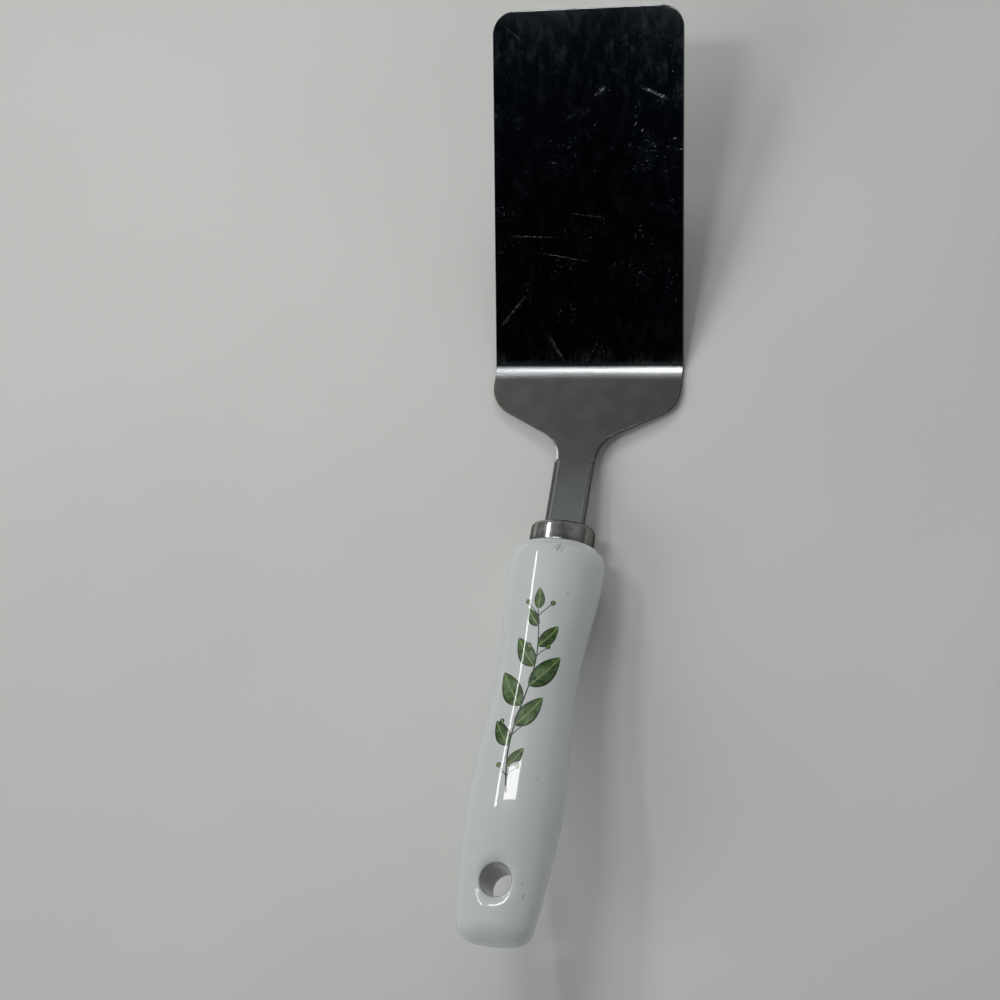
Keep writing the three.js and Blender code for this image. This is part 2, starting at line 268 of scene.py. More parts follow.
class Shape:
    """Points and faces of a closed mesh, gathered ring by ring in millimetres."""

    def __init__(self):
        self.points = []
        self.faces = []
        self.places = []
        self.sharp = set()

    def ring(self, points, places=None):
        """Adds points, with a place for the finish to follow, and returns their numbers."""
        start = len(self.points)
        self.points += points
        self.places += places or points
        return list(range(start, len(self.points)))

    def bands(self, rings, loop=True):
        """Joins rings, or open rows, of equally many points with quads."""
        for one, two in zip(rings, rings[1:]):
            count = len(one)
            for i in range(count if loop else count - 1):
                j = (i + 1) % count
                self.faces.append((one[i], one[j], two[j], two[i]))

    def fan(self, ring, point):
        """Closes a ring with triangles to one point."""
        (middle,) = self.ring([point])
        for i, a in enumerate(ring):
            self.faces.append((a, ring[(i + 1) % len(ring)], middle))

    def drop_unused(self):
        """Leaves out points that no face uses."""
        used = sorted({i for face in self.faces for i in face})
        number = {old: new for new, old in enumerate(used)}
        self.points = [self.points[i] for i in used]
        self.places = [self.places[i] for i in used]
        self.faces = [tuple(number[i] for i in face) for face in self.faces]

    def piece(self, name, matrix, finish, slot):
        """The mesh as an object in the row frame, riding on the one body."""
        mesh = bpy.data.meshes.new(name)
        mesh.from_pydata([matrix @ Vector(p) * MM for p in self.points], [], self.faces)
        places = mesh.attributes.new("place", "FLOAT_VECTOR", "POINT")
        places.data.foreach_set("vector", [c for p in self.places for c in p])
        made = bmesh.new()
        made.from_mesh(mesh)
        bmesh.ops.recalc_face_normals(made, faces=made.faces)
        made.to_mesh(mesh)
        made.free()
        mesh.shade_smooth()
        for edge in mesh.edges:
            edge.use_edge_sharp = frozenset(edge.vertices) in self.sharp
        mesh.materials.append(finish)
        thing = add_object(name, mesh)
        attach(thing, "root")
        return thing


def sheet_outline():
    """Half outline of the flat sheet: station, half width and the direction out of the sheet there."""
    half, shank, tang = BLADE_WIDTH / 2, SHANK_WIDTH / 2, TANG_WIDTH / 2
    shank_end, tang_end = FERRULE_TOP + SHANK_END, FERRULE_TOP + TANG_END
    aside = (0.0, 1.0)
    outline = []

    def straight(start, end, steps, width):
        outline.extend((s, width, aside) for s in spread(start, end, steps))

    def arc(station, width, radius, start, end, steps, hollow=False):
        side = -1 if hollow else 1
        for angle in spread(start, end, steps):
            c, s = cos(angle), sin(angle)
            outline.append((station + radius * c, width - side * radius + radius * s, (side * c, side * s)))

    arc(TIP_CORNER_RADIUS, half, TIP_CORNER_RADIUS, pi, QUARTER, TIP_STEPS)
    straight(TIP_CORNER_RADIUS, BLADE_LENGTH, BLADE_STEPS, half)
    straight(BLADE_LENGTH, HEEL_END, HEEL_STEPS, half)
    straight(HEEL_END, CORNER_START, SIDE_STEPS, half)
    turned = QUARTER - SHOULDER_SLANT
    arc(CORNER_START, half, SHOULDER_CORNER_RADIUS, QUARTER, turned, CORNER_STEPS)
    lean = (sin(SHOULDER_SLANT), cos(SHOULDER_SLANT))
    for t in spread(0, 1, SLANT_STEPS):
        station = CORNER_END + (FILLET_START - CORNER_END) * t
        outline.append((station, half - CORNER_DROP - SLANT_DROP * t, lean))
    turned = -QUARTER - SHOULDER_SLANT
    arc(FILLET_END, shank, NECK_FILLET_RADIUS, turned, -QUARTER, FILLET_STEPS, hollow=True)
    straight(FILLET_END, FLANGE_START, FLANGE_STEPS, shank)
    straight(FLANGE_START, FERRULE_TOP, SHANK_STEPS, shank)
    straight(FERRULE_TOP, shank_end, SHANK_END_STEPS, shank)
    outline.append((shank_end, shank, aside))
    straight(shank_end + FIT_GAP, tang_end, TANG_STEPS, tang)
    outline.append((tang_end, tang, aside))
    return outline


def askew(across, station):
    """How far the heel line, which runs slightly askew, is off towards the tip."""
    return HEEL_SKEW * across * smoothstep(HEEL_FADE, 0, abs(station - BLADE_LENGTH))


def bent_point(across, station, lift):
    """Point of the bent sheet, in the level sheet's frame."""
    off = askew(across, station)
    y, z, pitch = on_side_line(station + off)
    return (across, y + off + lift * sin(pitch), z + lift * cos(pitch))


def add_to_sheet(shape, places):
    """Adds places on the flat sheet, bent to shape, and returns their numbers."""
    flat = [(across, station + askew(across, station), lift) for across, station, lift in places]
    return shape.ring([bent_point(*p) for p in places], flat)


def sheet_columns(half):
    """Places across one row of the sheet, closest together near its edges."""
    columns = [half - e for e in EDGE_COLUMNS[:-1]]
    columns += spread(half - EDGE_COLUMNS[-1], 0, MIDDLE_COLUMNS)
    return [-c for c in columns] + [0.0] + columns[::-1]


def upper_lift(across, half, rise):
    """Height of the upper face over the sheet's middle, on the flat or on a turned-up flange."""
    flat = smoothstep(SHEET_THICKNESS, SHEET_THICKNESS + FLANGE_SLOPE, half - abs(across))
    return SHEET_THICKNESS / 2 + FLANGE_HEIGHT * rise * (1 - flat)


def sheet_rows(shape):
    """Rows of both faces, drawn in from the outline by the rounding of the cut edge."""
    upper, lower = [], []
    for station, half, out in sheet_outline():
        on_shank = station <= FERRULE_TOP + SHANK_END
        rise = smoothstep(FILLET_END, FLANGE_START, station) if on_shank else 0.0
        at_neck = smoothstep(FILLET_START, FILLET_START + NECK_ROUND_RUN_IN, station)
        at_neck *= smoothstep(FILLET_END, FILLET_END - NECK_ROUND_RUN_OUT, station)
        upper_round = CUT_EDGE_ROUND + (NECK_EDGE_ROUND - CUT_EDGE_ROUND) * at_neck
        under_round = CUT_EDGE_ROUND + (FLANGE_OUTER_ROUND - CUT_EDGE_ROUND) * rise
        for rows, inset in ((upper, upper_round), (lower, under_round)):
            at = station - inset * out[0]
            places = []
            for across in sheet_columns(half - inset * out[1]):
                lift = upper_lift(across, half, rise) if rows is upper else -SHEET_THICKNESS / 2
                places.append((across, at, lift))
            rows.append({"ids": add_to_sheet(shape, places), "places": places, "inset": inset, "out": out})
    return upper, lower


def sheet_border(rows):
    """Walk round a face: row, column and the direction out of the sheet there."""
    last = len(rows) - 1
    walk = []
    for i, j in border_walk(len(rows), len(rows[0]["ids"])):
        along, aside = rows[i]["out"]
        if i in (0, last):
            along, aside = (1.0 if i else -1.0), 0.0
        elif j == 0:
            aside = -aside
        walk.append((rows[i], j, (along, aside)))
    return walk


def cut_edge_ring(shape, walk, angle, side):
    """Ring on the rounded cut edge, turned out from the upper face (side 1) or the lower (side -1)."""
    places = []
    for row, j, (along, aside) in walk:
        across, at, lift = row["places"][j]
        reach = row["inset"] * sin(angle)
        fall = row["inset"] * (1 - cos(angle))
        places.append((across + reach * aside, at + reach * along, lift - side * fall))
    return add_to_sheet(shape, places)


def make_blade(finish):
    """The stamped sheet: two faces of rows and columns, and rounded cut edges all round."""
    shape = Shape()
    upper, lower = sheet_rows(shape)
    for rows in (upper, lower):
        shape.bands([row["ids"] for row in rows], loop=False)
    top, bottom = sheet_border(upper), sheet_border(lower)
    rings = [[row["ids"][j] for row, j, _ in top]]
    angles = quarter_turn(CUT_EDGE_STEPS)[1:]
    rings += [cut_edge_ring(shape, top, angle, 1) for angle in angles]
    rings += [cut_edge_ring(shape, bottom, angle, -1) for angle in reversed(angles)]
    rings.append([row["ids"][j] for row, j, _ in bottom])
    shape.bands(rings)
    blade = shape.piece("blade_sheet", SHEET_FRAME, finish, "polished_steel")
    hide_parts("blade")


def oval(width, depth, station, power=OVAL_POWER):
    """Oval across the handle's axis."""
    points = []
    for i in range(OVAL_POINTS):
        angle = 2 * pi * i / OVAL_POINTS
        c, s = cos(angle), sin(angle)
        x = width / 2 * copysign(abs(c) ** (2 / power), c)
        z = depth / 2 * copysign(abs(s) ** (2 / power), s)
        points.append((x, -station, z))
    return points


def between(one, two, t):
    """Ring part of the way from one ring to another."""
    return [tuple(a + (b - a) * t for a, b in zip(p, q)) for p, q in zip(one, two)]


def make_ferrule(finish):
    """Drawn cap: from the slot over the top, down outside, up inside and back."""

    def cap_oval(inset, station):
        return oval(FERRULE_WIDTH - 2 * inset, FERRULE_DEPTH - 2 * inset, station)

    slot_width, slot_depth = SHANK_WIDTH + 2 * SLOT_GAP, SHANK_DEPTH + 2 * SLOT_GAP
    slot = [oval(slot_width, slot_depth, t, SLOT_POWER) for t in (0.0, FERRULE_WALL)]
    edge, lip = FERRULE_EDGE_RADIUS, FERRULE_RIM_ROUND
    top_edge = [cap_oval(edge * (1 - sin(a)), edge * (1 - cos(a))) for a in quarter_turn(FERRULE_EDGE_STEPS)]
    top = [between(slot[0], top_edge[0], t) for t in FERRULE_TOP_RINGS]
    end = FERRULE_END - lip
    wall = [cap_oval(0.0, t) for t in spread(edge, end, FERRULE_WALL_STEPS)[1:]]
    rim = [cap_oval(lip * (1 - cos(a)), end + lip * sin(a)) for a in quarter_turn(FERRULE_RIM_STEPS)]
    inside = [cap_oval(FERRULE_WALL, t) for t in (FERRULE_END, FERRULE_WALL)]
    shape = Shape()
    rings = [shape.ring(r) for r in [slot[0], *top, *top_edge, *wall, *rim, *inside, slot[1]]]
    shape.bands([*rings, rings[0]])
    cap = shape.piece("ferrule_cap", HANDLE_FRAME, finish, "ferrule_steel")
    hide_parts("ferrule")


def size_along(knots):
    """Smooth size along the handle through named sections, level at the first."""
    last = len(knots) - 1
    slopes = [0.0]
    for i in range(1, len(knots)):
        before, after = knots[i - 1], knots[min(i + 1, last)]
        slopes.append((after[1] - before[1]) / (after[0] - before[0]))

    def size(station):
        i = next(n for n in range(1, len(knots)) if station <= knots[n][0] or n == last)
        (start, a), (end, b) = knots[i - 1], knots[i]
        run = end - start
        t = (station - start) / run
        bow = t * (1 - t) * run * (slopes[i - 1] * (1 - t) - slopes[i] * t)
        return a + (b - a) * t * t * (3 - 2 * t) + bow

    return size


# Sections of the grip: station, width and depth
SECTIONS = (
    (LIP_LENGTH, LIP_WIDTH, LIP_DEPTH),
    (WAIST_STATION, WAIST_WIDTH, WAIST_DEPTH),
    (BULGE_STATION, BULGE_WIDTH, BULGE_DEPTH),
    (HOLE_STATION, HOLE_SECTION_WIDTH, HOLE_SECTION_DEPTH),
    (HANDLE_LENGTH, BUTT_WIDTH, BUTT_DEPTH),
)
width_along = size_along([(station, width) for station, width, _ in SECTIONS])
depth_along = size_along([(station, depth) for station, _, depth in SECTIONS])


def grip_size(station, flare, along):
    """Size at a station from the seat: the named sections, drawn in at the collar, the lip and the butt."""
    to_top = max(0.0, LIP_LENGTH - station)
    lip_drop = flare * (1 - sqrt(1 - (to_top / LIP_LENGTH) ** 2))
    past = max(0.0, station - HANDLE_LENGTH + BUTT_EDGE_RADIUS)
    butt_drop = BUTT_EDGE_RADIUS - sqrt(max(0.0, BUTT_EDGE_RADIUS ** 2 - past ** 2))
    collar = COLLAR_STEP * (1 - smoothstep(COLLAR_HEIGHT, COLLAR_HEIGHT + COLLAR_BLEND, station))
    return along(max(station, LIP_LENGTH)) - 2 * (lip_drop + butt_drop + collar)


def grip_width(station):
    return grip_size(station, LIP_SIDE_FLARE, width_along)


def grip_depth(station):
    return grip_size(station, LIP_FACE_FLARE, depth_along)


def grip_height(across, station):
    """Height of the handle's upper face over its axis."""
    share = min(1.0, abs(2 * across / grip_width(station)))
    return grip_depth(station) / 2 * (1 - share ** OVAL_POWER) ** (1 / OVAL_POWER)


def grip_stations():
    """Stations of the grip's rings from the seat, and the numbers of the hole block's first and last."""
    block_start, block_end = HOLE_STATION - HOLE_BLOCK_SIDE / 2, HOLE_STATION + HOLE_BLOCK_SIDE / 2
    butt_start = HANDLE_LENGTH - BUTT_EDGE_RADIUS
    stations = [LIP_LENGTH * (1 - cos(a)) for a in spread(0, QUARTER, LIP_STEPS)[1:]]
    stations += spread(LIP_LENGTH, block_start, GRIP_STEPS)
    first = len(stations)
    stations += spread(block_start, block_end, HOLE_BLOCK_ROWS)
    last = len(stations)
    stations += spread(block_end, butt_start, PAST_HOLE_STEPS)
    stations += [butt_start + BUTT_EDGE_RADIUS * sin(a) for a in spread(0, QUARTER, BUTT_EDGE_STEPS)]
    stations.append(HANDLE_LENGTH)
    return stations, first, last


def hole_rings(border):
    """Rings on the upper face from the block's border to the hole's mouth and over its rounded rim."""
    mouth = HOLE_DIAMETER / 2 + HOLE_RIM_REACH
    angles = [atan2(s - HOLE_STATION, x) for x, s in border]
    circle = [(mouth * cos(a), HOLE_STATION + mouth * sin(a)) for a in angles]
    rings = []
    for n in range(1, PATCH_RINGS + 1):
        ring = between(border, circle, n / PATCH_RINGS)
        rings.append([(x, -SEAT - s, grip_height(x, s)) for x, s in ring])
    for turn in quarter_turn(RIM_RINGS)[1:]:
        inward = HOLE_RIM_REACH * sin(turn)
        fall = HOLE_RIM_DROP * (1 - cos(turn))
        radius = mouth - inward
        ring = []
        for angle, (x, s) in zip(angles, circle):
            c, sn = cos(angle), sin(angle)
            edge = grip_height(x, s)
            slope = (grip_height(x + SLOPE_STEP * c, s + SLOPE_STEP * sn) - edge) / SLOPE_STEP
            ring.append((radius * c, -SEAT - HOLE_STATION - radius * sn, edge - slope * inward - fall))
        rings.append(ring)
    return rings


def make_handle(finish):
    """Porcelain grip: rings from the socket to the butt, with a patch round the hanging hole on each face."""
    shape = Shape()
    stations, first, last = grip_stations()
    socket = [oval(SOCKET_WIDTH, SOCKET_DEPTH, t, SOCKET_POWER) for t in (SOCKET_END, SPIGOT_TOP)]
    spigot = [oval(SPIGOT_WIDTH, SPIGOT_DEPTH, t) for t in (SPIGOT_TOP, SEAT)]
    lip_start = stations[0]
    seat = oval(grip_width(lip_start) - 2 * SEAT_ROUND, grip_depth(lip_start) - 2 * SEAT_ROUND, SEAT)
    top = [shape.ring(r) for r in [*socket, *spigot, seat]]
    shape.fan(top[0], (0, -SOCKET_END, 0))
    grip = [shape.ring(oval(grip_width(s), grip_depth(s), SEAT + s)) for s in stations]
    end = [shape.points[i] for i in grip[-1]]
    butt = []
    for t in BUTT_RINGS:
        crown = BUTT_CROWN * (1 - (1 - t) ** 2)
        butt.append(shape.ring([(x * (1 - t), y - crown, z * (1 - t)) for x, y, z in end]))
    shape.bands([*top, *grip[:first + 1]])
    shape.bands([*grip[last:], *butt])
    shape.fan(butt[-1], (0, -SEAT - HANDLE_LENGTH - BUTT_CROWN, 0))

    # The handle's two sides beside the block that the hole is cut in, and the hole
    right, left = HOLE_BLOCK_FIRST, OVAL_POINTS // 2 - HOLE_BLOCK_FIRST
    for side in (range(-right, right + 1), range(left, OVAL_POINTS - left + 1)):
        shape.bands([[ring[j] for j in side] for ring in grip[first:last + 1]], loop=False)
    walk = [(first + i, right + j) for i, j in border_walk(last - first + 1, left - right + 1)]
    upper_border = [grip[i][j] for i, j in walk]
    lower_border = [grip[i][-j] for i, j in walk]
    over = hole_rings([(shape.points[grip[i][j]][0], stations[i]) for i, j in walk])
    under = [[(x, y, -z) for x, y, z in ring] for ring in reversed(over)]
    bore = [between(over[-1], under[0], n / BORE_RINGS) for n in range(1, BORE_RINGS)]
    hole = [shape.ring(r) for r in [*over, *bore, *under]]
    shape.bands([upper_border, *hole, lower_border])
    shape.drop_unused()
    grip_piece = shape.piece("handle_grip", HANDLE_FRAME, finish, "porcelain")
    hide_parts("handle")


# Print on the handle, in millimetres: a sprig whose stem runs along the middle of the upper face
PRINT_LIFT = 0.03
PRINT_DEPTH = 0.04
STEM_TOP = 27.0
STEM_END = 92.0
STEM_SWAY = 2.0
STEM_WIDTH = 0.55
STEM_TOP_WIDTH = 0.6 * STEM_WIDTH
STEM_STEPS = 60
LEAF_FIRST = 33.0
LEAF_STEP = 7.0
LEAF_LENGTHS = (7.5, 9.5, 12.0, 14.0, 14.5, 13.0, 10.5, 8.0)
LEAF_RATIO = 0.5
LEAF_LEAN = radians(46)
TOP_LEAF_LEAN = 0.1
LEAF_CURL = 0.16
LEAF_BLUNT = 0.8
LEAF_FULLNESS = 0.85
LEAF_TRIM = 0.004
LEAF_POINT_WIDTH = 0.06
LEAF_ROWS = 18
LEAF_COLUMNS = 10
BUD_STATIONS = (29.5, 43.5, 71.5, 85.5)
BUD_LENGTH = 2.2
BUD_RATIO = 0.75
BUD_BLUNT = 1.0
BUD_LEAN = radians(38)
STALK_LENGTH = 5.0
SHORT_STALK = 0.7 * STALK_LENGTH
STALK_CURL = 0.12
STALK_END_WIDTH = 0.5 * STEM_WIDTH
STALK_STEPS = 8


def on_grip(across, station, lift):
    """Point over the handle's upper face, lifted square to it."""

    def slope(aside, along):
        rise = grip_height(across + aside, station + along) - grip_height(across - aside, station - along)
        return rise / (2 * SLOPE_STEP)

    up = Vector((-slope(SLOPE_STEP, 0), -slope(0, -SLOPE_STEP), 1.0)).normalized()
    return tuple(Vector((across, -SEAT - station, grip_height(across, station))) + up * lift)


def stem_at(station):
    """Place of the stem across the face, a gentle S."""
    return STEM_SWAY * sin(2 * pi * (station - STEM_TOP) / (STEM_END - STEM_TOP))


def add_patch(shape, rows, places=None):
    """Thin closed patch over the face, with sharp borders, from rows of flat points."""
    places = places or [None] * len(rows)
    loops = []
    for lift in (PRINT_LIFT, -PRINT_DEPTH):
        sheet = [shape.ring([on_grip(x, s, lift) for x, s in row], p) for row, p in zip(rows, places)]
        shape.bands(sheet, loop=False)
        loops.append([sheet[i][j] for i, j in border_walk(len(sheet), len(sheet[0]))])
    shape.bands(loops)
    for loop in loops:
        shape.sharp.update(map(frozenset, zip(loop, loop[1:] + loop[:1])))


def leaf_rows(base, lean, length, width, curl, blunt):
    """Flat rows of a pointed oval that starts at base and leans from the handle's axis, and their places."""
    rows, places = [], []
    for i in range(LEAF_ROWS + 1):
        t = LEAF_TRIM + (1 - 2 * LEAF_TRIM) * i / LEAF_ROWS
        half = width / 2 * sin(pi * t ** blunt) ** LEAF_FULLNESS + LEAF_POINT_WIDTH / 2
        bend = curl * length * t * t
        row, place = [], []
        for j in range(LEAF_COLUMNS + 1):
            share = 2 * j / LEAF_COLUMNS - 1
            ahead, aside = length * t, half * share + bend
            x = base[0] + ahead * sin(lean) + aside * cos(lean)
            s = base[1] - ahead * cos(lean) + aside * sin(lean)
            row.append((x, s))
            place.append((t, share, half * share))
        rows.append(row)
        places.append(place)
    return rows, places


def ribbon_rows(points, start_width, end_width):
    """Flat rows of a ribbon along points."""
    rows = []
    last = len(points) - 1
    for i, (x, s) in enumerate(points):
        ahead, behind = points[min(i + 1, last)], points[max(i - 1, 0)]
        run = Vector((ahead[0] - behind[0], ahead[1] - behind[1])).normalized()
        half = (start_width + (end_width - start_width) * (i / last)) / 2
        rows.append([(x + k * half * run.y, s - k * half * run.x) for k in (-1, 0, 1)])
    return rows


def stalk_points(station, lean, length):
    """Flat points of a bud's stalk, which starts on the stem and curls outwards."""
    points = []
    for i in range(STALK_STEPS + 1):
        t = i / STALK_STEPS
        aside = length * t * sin(lean) + copysign(STALK_CURL, lean) * length * t * t
        points.append((stem_at(station) + aside, station - length * t * cos(lean)))
    return points


def make_print(leaf_material, stem_material):
    """The sprig: leaves in turn left and right of the stem, one at its top, and buds on short stalks."""
    leaves, stems, buds = Shape(), Shape(), Shape()
    stem = [(stem_at(s), s) for s in spread(STEM_TOP, STEM_END, STEM_STEPS)]
    add_patch(stems, ribbon_rows(stem, STEM_TOP_WIDTH, STEM_WIDTH))
    starts = [(STEM_TOP, TOP_LEAF_LEAN, LEAF_LENGTHS[0])]
    for i, length in enumerate(LEAF_LENGTHS):
        starts.append((LEAF_FIRST + LEAF_STEP * i, LEAF_LEAN if i % 2 else -LEAF_LEAN, length))
    for station, lean, length in starts:
        base, width = (stem_at(station), station), LEAF_RATIO * length
        curl = -copysign(LEAF_CURL, lean)
        add_patch(leaves, *leaf_rows(base, lean, length, width, curl, LEAF_BLUNT))
    for i, station in enumerate(BUD_STATIONS):
        for side in (-1, 1):
            lean, width = side * BUD_LEAN, BUD_RATIO * BUD_LENGTH
            stalk = stalk_points(station, lean, STALK_LENGTH if (i + side) % 2 else SHORT_STALK)
            add_patch(stems, ribbon_rows(stalk, STEM_TOP_WIDTH, STALK_END_WIDTH))
            add_patch(buds, *leaf_rows(stalk[-1], lean, BUD_LENGTH, width, 0.0, BUD_BLUNT))
    leaves.piece("print_leaves", HANDLE_FRAME, leaf_material, "print")
    stems.piece("print_stems", HANDLE_FRAME, stem_material, "print")
    buds.piece("print_buds", HANDLE_FRAME, leaf_material, "print")


# Sockets of a Mix node that mixes colours
MIX_SHARE = 0
MIX_ONE = 6
MIX_TWO = 7
MIX_RESULT = 2


class Nodes:
    """A node tree, wired up node by node."""

    def __init__(self, tree):
        self.tree = tree

    def add(self, kind, inputs=None, **settings):
        """Adds a node, with values or links for its inputs by name or number."""
        node = self.tree.nodes.new("ShaderNode" + kind)
        for key, value in settings.items():
            setattr(node, key, value)
        for key, value in (inputs or {}).items():
            self.set(node.inputs[key], value)
        return node

    def set(self, socket, value):
        """Gives a socket a value, a colour of three numbers or a link from another node's socket."""
        if isinstance(value, bpy.types.NodeSocket):
            self.tree.links.new(value, socket)
        else:
            socket.default_value = (*value, 1.0) if socket.type == "RGBA" else value

    def noise(self, vector, scale=1.0, detail=2.0, roughness=0.5):
        inputs = {"Vector": vector, "Scale": scale, "Detail": detail, "Roughness": roughness}
        return self.add("TexNoise", inputs).outputs["Fac"]

    def cells(self, vector, size, turn=0.0, offset=(0, 0, 0)):
        """Place counted in cells of the given size, turned about the third axis."""
        inputs = {"Vector": vector, "Location": offset, "Rotation": (0, 0, turn), "Scale": size}
        return self.add("Mapping", inputs, vector_type="TEXTURE").outputs["Vector"]

    def parts(self, vector):
        """The three numbers of a vector."""
        return self.add("SeparateXYZ", {"Vector": vector}).outputs[:]

    def vector(self, operation, one, two):
        return self.add("VectorMath", {0: one, 1: two}, operation=operation).outputs["Vector"]

    def measure(self, operation, one, two=(0, 0, 0)):
        """The number that an operation on vectors gives."""
        return self.add("VectorMath", {0: one, 1: two}, operation=operation).outputs["Value"]

    def ramp(self, value, first, last, start=0.0, end=1.0):
        """Goes smoothly from start to end while the value goes from first to last, up or down."""
        inputs = {"Value": value, "From Min": first, "From Max": last, "To Min": start, "To Max": end}
        return self.add("MapRange", inputs, interpolation_type="SMOOTHSTEP").outputs["Result"]

    def pattern(self, vector, scale, detail, *ramp):
        """Noise of a scale and a detail, taken through a ramp."""
        return self.ramp(self.noise(vector, scale, detail), *ramp)

    def math(self, operation, one, *others):
        """An operation on one value, or on values in turn."""
        if not others:
            return self.add("Math", {0: one}, operation=operation).outputs[0]
        for other in others:
            one = self.add("Math", {0: one, 1: other}, operation=operation).outputs[0]
        return one

    def product(self, *values):
        return self.math("MULTIPLY", *values)

    def total(self, *values):
        return self.math("ADD", *values)

    def largest(self, *values):
        return self.math("MAXIMUM", *values)

    def mix(self, share, one, two):
        """Colour between one and two."""
        inputs = {MIX_SHARE: share, MIX_ONE: one, MIX_TWO: two}
        return self.add("Mix", inputs, data_type="RGBA").outputs[MIX_RESULT]

    def layers(self, colour, *layers):
        """Colours laid over a first one, each with its share."""
        for share, over in layers:
            colour = self.mix(share, colour, over)
        return colour


class Finish(Nodes):
    """A material with its shader."""

    def __init__(self, name):
        self.material = bpy.data.materials.new(name)
        self.material.use_nodes = True
        super().__init__(self.material.node_tree)
        self.shader = self.tree.nodes["Principled BSDF"]

    def shade(self, **inputs):
        """Sets the shader's own inputs, whose names are given with underscores."""
        for key, value in inputs.items():
            self.set(self.shader.inputs[key.replace("_", " ")], value)

    def place(self):
        """Place in millimetres on the flat sheet or by the handle's axis, or place on a leaf."""
        return self.add("Attribute", attribute_name="place").outputs["Vector"]

    def spot(self):
        """Place in metres in the row frame."""
        return self.add("TexCoord").outputs["Object"]

    def bump(self, height, strength, distance):
        inputs = {"Height": height, "Strength": strength, "Distance": distance}
        return self.add("Bump", inputs).outputs["Normal"]


# Depth of a cell that is the same right through the sheet, and the factor that flattens a place
THROUGH = 1000.0
FLAT = (1, 1, 0)

# Scratches on the blade: turn in degrees, length and width of a cell, level of noise that shows, and offset
SCRATCHES = (
    (38, 1.8, 0.14, 0.675, 11.0),
    (-52, 2.2, 0.14, 0.68, 47.0),
    (8, 1.6, 0.16, 0.685, 83.0),
    (80, 1.5, 0.15, 0.685, 129.0),
    (118, 0.5, 0.3, 0.69, 171.0),
)
SCRATCH_FADE = 0.06
PATCH_CELL = (14.0, 14.0, THROUGH)
SCRATCH_PATCHES = (0.56, 0.66)

# Single strokes on the blade: place across and along, turn in degrees, length and width
STROKES = (
    (-27.1, 7.8, 38, 11.0, 1.0),
    (24.7, 29.9, 24, 13.4, 1.8),
    (5.0, 28.7, -36, 7.0, 1.2),
    (-28.4, 105.9, -49, 18.0, 1.5),
    (-11.9, 118.8, 57, 13.0, 1.8),
    (0.2, 71.9, 7, 15.0, 0.5),
    (-20.3, 79.2, 2, 22.0, 0.8),
    (-8.5, 86.6, 10, 23.0, 0.8),
)
STROKE_ENDS = (1.0, 0.4)
STROKE_SIDES = (1.0, 0.2)
HAIR_CELL = (1.1, 0.16, THROUGH)
HAIRS = (0.46, 0.66)


def scratch_marks(f, place):
    """Where the blade has fine scratches, which come in patches, or a single stroke."""
    marks = []
    for turn, long, fine, level, seed in SCRATCHES:
        cells = f.cells(place, (long, fine, THROUGH), radians(turn), (seed, -seed, 0))
        dash = f.ramp(f.noise(cells, detail=1.0), level, level + SCRATCH_FADE)
        patch = f.noise(f.cells(place, PATCH_CELL, offset=(0, seed, 0)))
        marks.append(f.product(dash, f.ramp(patch, *SCRATCH_PATCHES)))
    for across, station, turn, long, wide in STROKES:
        cells = f.cells(place, (long / 2, wide / 2, THROUGH), radians(turn), (across, station, 0))
        along, aside, _ = f.parts(cells)
        ends = f.ramp(f.math("ABSOLUTE", along), *STROKE_ENDS)
        sides = f.ramp(f.math("ABSOLUTE", aside), *STROKE_SIDES)
        hairs = f.ramp(f.noise(f.cells(place, HAIR_CELL, radians(turn))), *HAIRS)
        marks.append(f.product(ends, sides, hairs))
    return f.largest(*marks)


# Smears towards the tip and brushed lines by the heel, which dull the mirror a little, as scratches do
SMEAR_CELL = (4.0, 9.0, THROUGH)
SMEARS = (0.46, 0.74)
SMEARS_ALONG = (4.0, 42.0, 1.0, 0.12)
SMEAR_DULL = 0.045
BRUSHED_CELL = (0.5, 9.0, THROUGH)
BRUSHED = (0.4, 0.68)
BRUSHED_PATCHES = (0.13, 2.0, 0.42, 0.66)
BRUSHED_ALONG = (BLADE_LENGTH - 7.0, BLADE_LENGTH - 0.5)
BRUSHED_DULL = 0.035
SCRATCH_DULL = 0.1


def blade_film(f, place, station):
    """How far smears and brushed lines dull the blade."""
    smears = f.noise(f.cells(place, SMEAR_CELL), detail=6.0, roughness=0.7)
    smears = f.product(f.ramp(smears, *SMEARS), f.ramp(station, *SMEARS_ALONG))
    brushed = f.ramp(f.noise(f.cells(place, BRUSHED_CELL)), *BRUSHED)
    brushed = f.product(brushed, f.pattern(place, *BRUSHED_PATCHES), f.ramp(station, *BRUSHED_ALONG))
    return f.largest(f.product(smears, SMEAR_DULL), f.product(brushed, BRUSHED_DULL))


# Roughness along the sheet: polished blade, hazy heel, dull bend with a ragged start, satin shoulder
BEND_ROUGHNESS = 0.33
HEEL_HAZE = 0.14
SHOULDER_ROUGHNESS = 0.08
POLISH = (0.045, 3.0, 0.35, 0.7, 0.022, 0.034)
RAGGED = (0.3, 0.7, -0.35, 0.35)
HAZE_ALONG = (BLADE_LENGTH - 2.8, BLADE_LENGTH, 0.0, HEEL_HAZE)
BEND_ALONG = (BLADE_LENGTH + 0.2, BLADE_LENGTH + 1.3, 0.0, BEND_ROUGHNESS - HEEL_HAZE)
SHOULDER_ALONG = (HEEL_END - 1.2, HEEL_END + 2.8, 0.0, SHOULDER_ROUGHNESS - BEND_ROUGHNESS)


